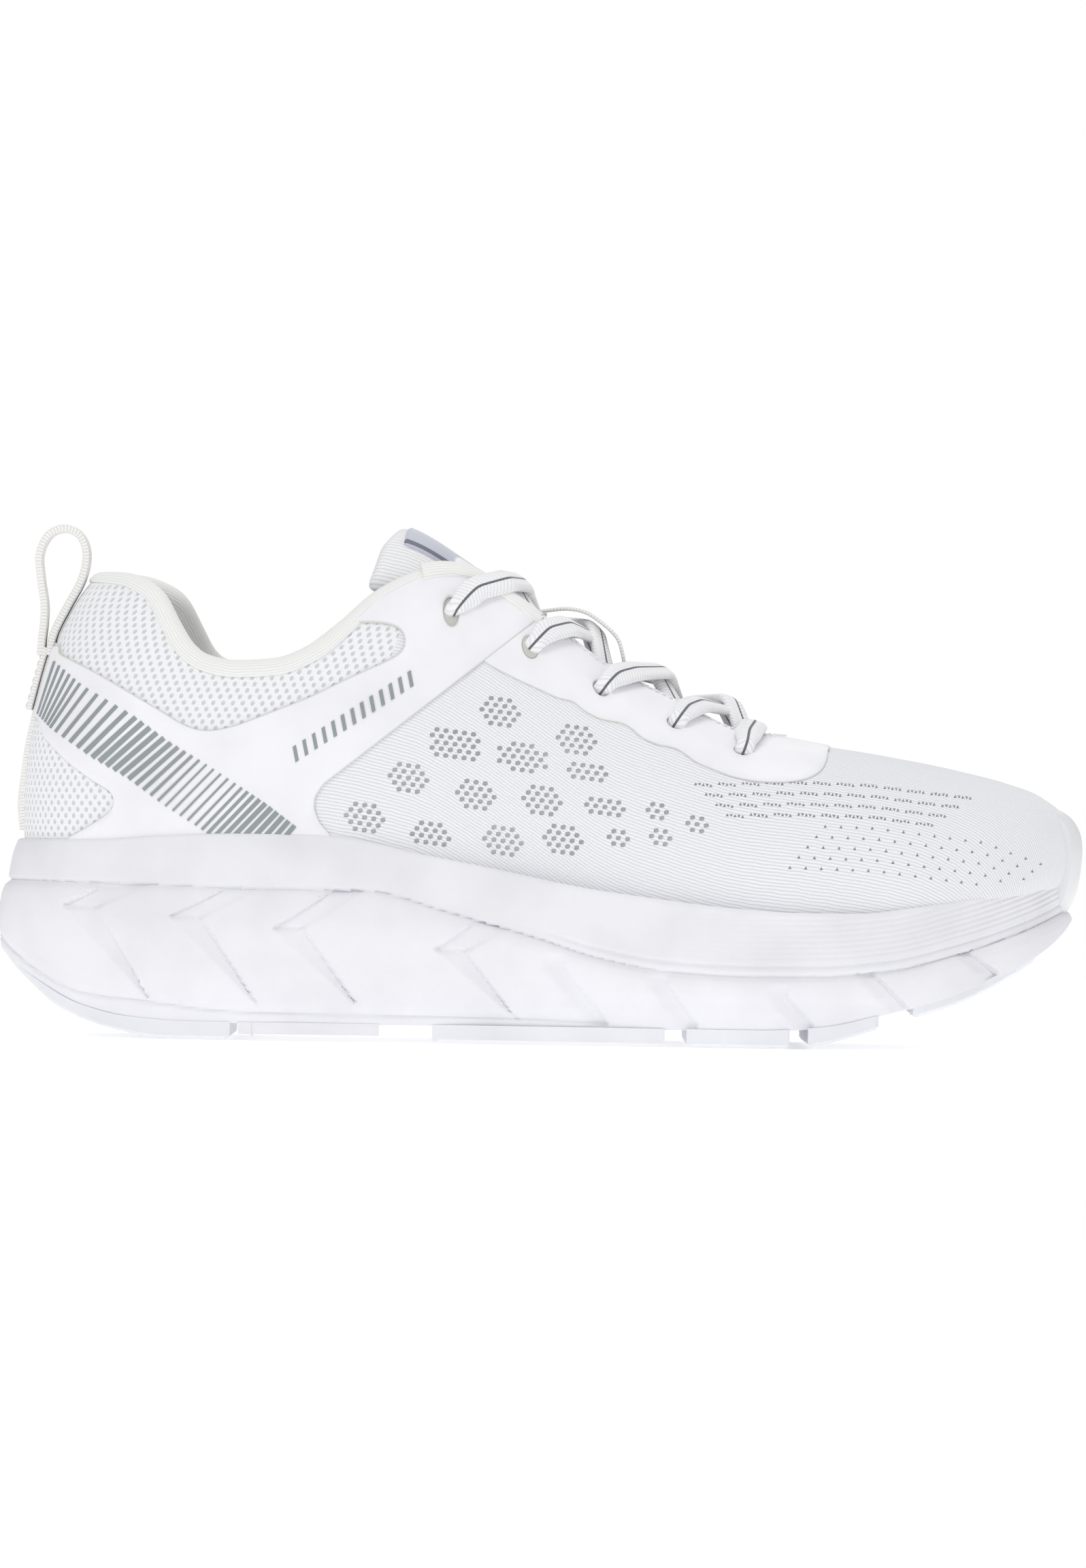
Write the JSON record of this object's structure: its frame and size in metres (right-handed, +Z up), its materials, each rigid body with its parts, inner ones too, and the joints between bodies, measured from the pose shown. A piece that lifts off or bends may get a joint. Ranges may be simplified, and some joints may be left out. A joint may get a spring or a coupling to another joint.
{
  "type": "running shoe",
  "caption": "Right-foot lace-up running shoe with a cushioned foam midsole, rubber pads under it and a mesh upper with film overlays.",
  "frame": {"origin": "ground point under the middle of the shoe's bounding box", "axes": "+X towards the toe, -Y towards the lateral (outer) side of the foot, +Z up"},
  "size_m": [0.3, 0.1053, 0.1411],
  "materials": {
    "midsole_foam": "matte moulded foam, pale lilac white",
    "outsole_rubber": "satin rubber, bluish white",
    "bumper_rubber": "satin smooth rubber, white",
    "board_cloth": "non-woven fabric, off white",
    "sockliner_foam": "soft foam, light grey",
    "sockliner_cloth": "brushed knit cloth, light grey",
    "upper_mesh": "engineered mesh, white",
    "overlay_film": "thin welded film, matte white",
    "stripe_print": "raised print, grey",
    "backing_tape": "woven reinforcement, white",
    "stiffener": "moulded sheet, natural",
    "collar_foam": "open-cell foam, cream",
    "lining_cloth": "spacer knit lining, white",
    "binding_cloth": "smooth knit binding, warm white",
    "webbing": "woven webbing, warm white",
    "tongue_mesh": "spacer mesh, white",
    "label_film": "soft moulded label, light blue grey",
    "lace_cord": "flat-oval woven lace, white with a dark grey line",
    "aglet_plastic": "clear glossy plastic tip"
  },
  "bodies": {
    "shoe": {"midsole": "midsole_foam", "outsole_heel_pad": "outsole_rubber", "outsole_arch_pad_lateral": "outsole_rubber", "outsole_arch_pad_medial": "outsole_rubber", "outsole_ball_rear_pad": "outsole_rubber", "outsole_ball_front_pad": "outsole_rubber", "outsole_toe_pad": "outsole_rubber", "toe_bumper": "bumper_rubber", "strobel_board": "board_cloth", "sockliner_foam": "sockliner_foam", "sockliner_cloth": "sockliner_cloth", "vamp_mesh": "upper_mesh", "heel_quarter_lateral": "upper_mesh", "heel_quarter_medial": "upper_mesh", "side_overlay_lateral": "overlay_film", "side_overlay_medial": "overlay_film", "eyestay_overlay": "overlay_film", "eyestay_backing_lateral": "backing_tape", "eyestay_backing_medial": "backing_tape", "toe_puff": "stiffener", "heel_counter": "stiffener", "collar_foam": "collar_foam", "collar_lining": "lining_cloth", "collar_binding": "binding_cloth", "heel_backstay": "overlay_film", "pull_loop_anchor": "webbing", "tongue_lower_face": "tongue_mesh", "tongue_lower_foam": "collar_foam", "tongue_lower_lining": "lining_cloth", "lace_keeper": "webbing", "lace": "lace_cord", "aglet_lateral": "aglet_plastic", "aglet_medial": "aglet_plastic"},
    "tongue_top": {"tongue_top_face": "tongue_mesh", "tongue_top_foam": "collar_foam", "tongue_top_lining": "lining_cloth", "tongue_top_binding": "binding_cloth", "tongue_label": "label_film"},
    "loop": {"pull_loop": "webbing"}
  },
  "joints": [
    {"name": "tongue_bend", "type": "hinge", "parent": "shoe", "child": "tongue_top", "pos_m": [-0.01, 0, 0.106], "axis": [0, -1, 0], "range_deg": [0, 20], "stiffness_Nm_per_rad": 0.05, "springref_deg": -17.19},
    {"name": "loop_fold", "type": "hinge", "parent": "shoe", "child": "loop", "pos_m": [-0.1383, 0, 0.107], "axis": [0, -1, 0], "range_deg": [0, 75], "stiffness_Nm_per_rad": 0.01, "springref_deg": -17.19}
  ]
}
